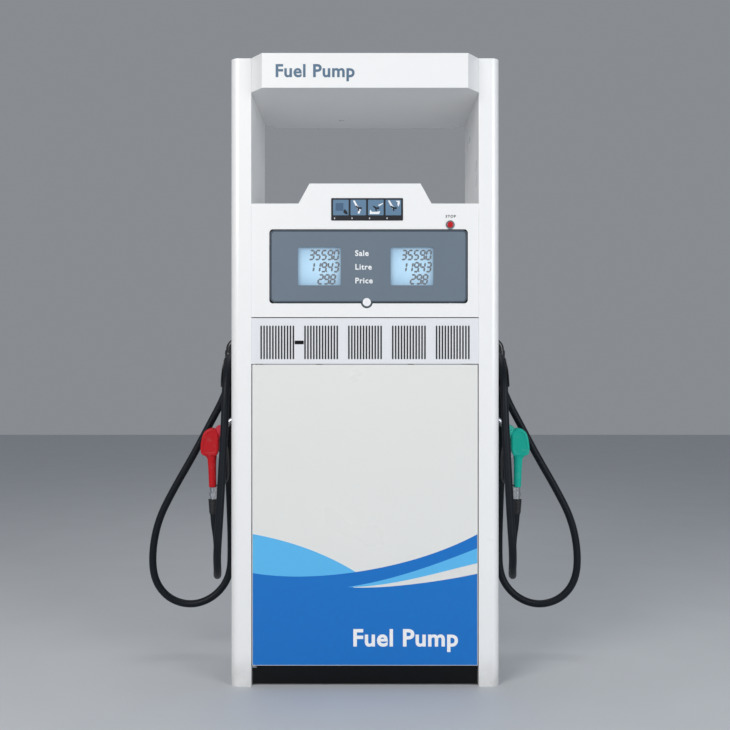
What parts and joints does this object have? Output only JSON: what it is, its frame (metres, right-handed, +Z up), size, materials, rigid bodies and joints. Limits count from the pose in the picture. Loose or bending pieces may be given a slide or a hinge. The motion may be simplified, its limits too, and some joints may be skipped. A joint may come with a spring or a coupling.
{
  "type": "gas pump",
  "caption": "Tall white fuel dispenser with displays in a raised head, a sign header, service doors, and a looped hose and nozzle hung on each side.",
  "frame": {"origin": "on the ground at the middle of the cabinet", "axes": "+Z up, the front face looks along -Y, +X to the right of someone facing it"},
  "size_m": [1.608, 0.576, 2.1],
  "materials": {
    "base_paint": "satin",
    "kick_black": "gloss",
    "white_paint": "gloss",
    "steel": "satin",
    "display": "gloss",
    "plaque": "gloss",
    "chrome": "polished",
    "lock_white": "gloss",
    "black_plastic": "matt",
    "boot_plastic": "matt",
    "black_paint": "satin",
    "hose_rubber": "satin",
    "grey_paint": "satin",
    "cast_iron": "rough",
    "belt_rubber": "matt",
    "aluminium": "satin",
    "bezel": "satin",
    "glass": "clear",
    "red_plastic": "gloss",
    "door_paint": "gloss",
    "red_jacket": "satin",
    "green_jacket": "satin"
  },
  "bodies": {
    "cabinet": {"base_frame": "base_paint", "kick_plates": "kick_black", "left_column": "white_paint", "right_column": "white_paint", "header_shell": "white_paint", "header_soffit": "white_paint", "head_shell": "white_paint", "front_head_panel": "white_paint", "rear_head_panel": "white_paint", "display_door_pins": "steel", "display_boards": "display", "instruction_plaques": "plaque", "stop_button_rings": "chrome", "front_grille_panel": "white_paint", "rear_grille_panel": "white_paint", "infrared_ports": "black_plastic", "lower_door_pins": "steel", "left_boot": "boot_plastic", "right_boot": "boot_plastic", "left_hose_outlet": "black_paint", "right_hose_outlet": "black_paint", "left_hose_hanger": "black_paint", "right_hose_hanger": "black_paint", "left_hose": "hose_rubber", "right_hose": "hose_rubber", "vapour_barrier": "steel", "control_box": "grey_paint", "pump_unit": "cast_iron", "motor": "grey_paint", "drive_belt": "belt_rubber", "suction_pipe": "steel", "supply_manifold": "steel", "flow_meters": "aluminium", "delivery_pipes": "steel"},
    "front_display_door": {"front_display_door": "bezel", "front_display_windows": "glass"},
    "front_display_lock": {"front_display_lock": "lock_white"},
    "front_stop_button": {"front_stop_button": "red_plastic"},
    "front_lower_door": {"front_lower_door": "door_paint"},
    "rear_display_door": {"rear_display_door": "bezel", "rear_display_windows": "glass"},
    "rear_display_lock": {"rear_display_lock": "lock_white"},
    "rear_stop_button": {"rear_stop_button": "red_plastic"},
    "rear_lower_door": {"rear_lower_door": "door_paint"},
    "left_nozzle": {"left_nozzle_body": "aluminium", "left_nozzle_jacket": "red_jacket", "left_nozzle_spout": "aluminium", "left_nozzle_guard": "black_plastic"},
    "left_nozzle_lever": {"left_nozzle_lever": "black_plastic"},
    "left_nozzle_swivel": {"left_nozzle_swivel": "chrome"},
    "left_boot_lever": {"left_boot_lever": "steel"},
    "right_nozzle": {"right_nozzle_body": "aluminium", "right_nozzle_jacket": "green_jacket", "right_nozzle_spout": "aluminium", "right_nozzle_guard": "black_plastic"},
    "right_nozzle_lever": {"right_nozzle_lever": "black_plastic"},
    "right_nozzle_swivel": {"right_nozzle_swivel": "chrome"},
    "right_boot_lever": {"right_boot_lever": "steel"},
    "motor_pulley": {"motor_pulley": "cast_iron"},
    "pump_pulley": {"pump_pulley": "cast_iron"}
  },
  "joints": [
    {"name": "front_display_door_hinge", "type": "hinge", "parent": "cabinet", "child": "front_display_door", "pos_m": [0.012, -0.2244, 1.5204], "axis": [-1, 0, 0], "range_deg": [0, 85]},
    {"name": "front_display_lock_turn", "type": "hinge", "parent": "front_display_door", "child": "front_display_lock", "pos_m": [0.006, -0.23, 1.285], "axis": [0, -1, 0], "range_deg": [0, 180]},
    {"name": "front_stop_button_press", "type": "slide", "parent": "cabinet", "child": "front_stop_button", "axis": [0, 1, 0], "range_m": [0, 0.004], "stiffness_N_per_m": 500},
    {"name": "front_lower_door_hinge", "type": "hinge", "parent": "cabinet", "child": "front_lower_door", "pos_m": [-0.371, -0.222, 0.573], "axis": [0, 0, -1], "range_deg": [0, 95]},
    {"name": "rear_display_door_hinge", "type": "hinge", "parent": "cabinet", "child": "rear_display_door", "pos_m": [-0.012, 0.2244, 1.5204], "axis": [1, 0, 0], "range_deg": [0, 85]},
    {"name": "rear_display_lock_turn", "type": "hinge", "parent": "rear_display_door", "child": "rear_display_lock", "pos_m": [-0.006, 0.23, 1.285], "axis": [0, 1, 0], "range_deg": [0, 180]},
    {"name": "rear_stop_button_press", "type": "slide", "parent": "cabinet", "child": "rear_stop_button", "axis": [0, -1, 0], "range_m": [0, 0.004], "stiffness_N_per_m": 500},
    {"name": "rear_lower_door_hinge", "type": "hinge", "parent": "cabinet", "child": "rear_lower_door", "pos_m": [0.371, 0.222, 0.573], "axis": [0, 0, -1], "range_deg": [0, 95]},
    {"name": "left_nozzle_lift", "type": "slide", "parent": "cabinet", "child": "left_nozzle", "axis": [-0.9659, 0, 0.2588], "range_m": [0, 0.25]},
    {"name": "left_nozzle_squeeze", "type": "hinge", "parent": "left_nozzle", "child": "left_nozzle_lever", "pos_m": [-0.529, 0.09, 0.741], "axis": [0, 1, 0], "range_deg": [0, 12], "stiffness_Nm_per_rad": 2, "springref_deg": -5.73},
    {"name": "left_swivel_turn", "type": "hinge", "parent": "left_nozzle", "child": "left_nozzle_swivel", "pos_m": [-0.554, 0.09, 0.6], "axis": [0, 0, 1], "continuous": true},
    {"name": "left_boot_lever_swing", "type": "hinge", "parent": "cabinet", "child": "left_boot_lever", "pos_m": [-0.351, 0.09, 0.977], "axis": [0, 1, 0], "range_deg": [0, 20]},
    {"name": "right_nozzle_lift", "type": "slide", "parent": "cabinet", "child": "right_nozzle", "axis": [0.9659, 0, 0.2588], "range_m": [0, 0.25]},
    {"name": "right_nozzle_squeeze", "type": "hinge", "parent": "right_nozzle", "child": "right_nozzle_lever", "pos_m": [0.529, 0.09, 0.741], "axis": [0, -1, 0], "range_deg": [0, 12], "stiffness_Nm_per_rad": 2, "springref_deg": -5.73},
    {"name": "right_swivel_turn", "type": "hinge", "parent": "right_nozzle", "child": "right_nozzle_swivel", "pos_m": [0.554, 0.09, 0.6], "axis": [0, 0, 1], "continuous": true},
    {"name": "right_boot_lever_swing", "type": "hinge", "parent": "cabinet", "child": "right_boot_lever", "pos_m": [0.351, 0.09, 0.977], "axis": [0, -1, 0], "range_deg": [0, 20]},
    {"name": "pump_pulley_spin", "type": "hinge", "parent": "cabinet", "child": "pump_pulley", "pos_m": [-0.14, -0.125, 0.19], "axis": [0, 1, 0], "continuous": true},
    {"name": "motor_pulley_spin", "type": "hinge", "parent": "cabinet", "child": "motor_pulley", "pos_m": [0.18, -0.125, 0.15], "axis": [0, 1, 0], "continuous": true}
  ],
  "couplings": [
    {"joint": "left_boot_lever_swing", "follows": "left_nozzle_lift", "rad_per_m": 1.39},
    {"joint": "right_boot_lever_swing", "follows": "right_nozzle_lift", "rad_per_m": 1.39},
    {"joint": "motor_pulley_spin", "follows": "pump_pulley_spin", "ratio": 2.3514}
  ]
}
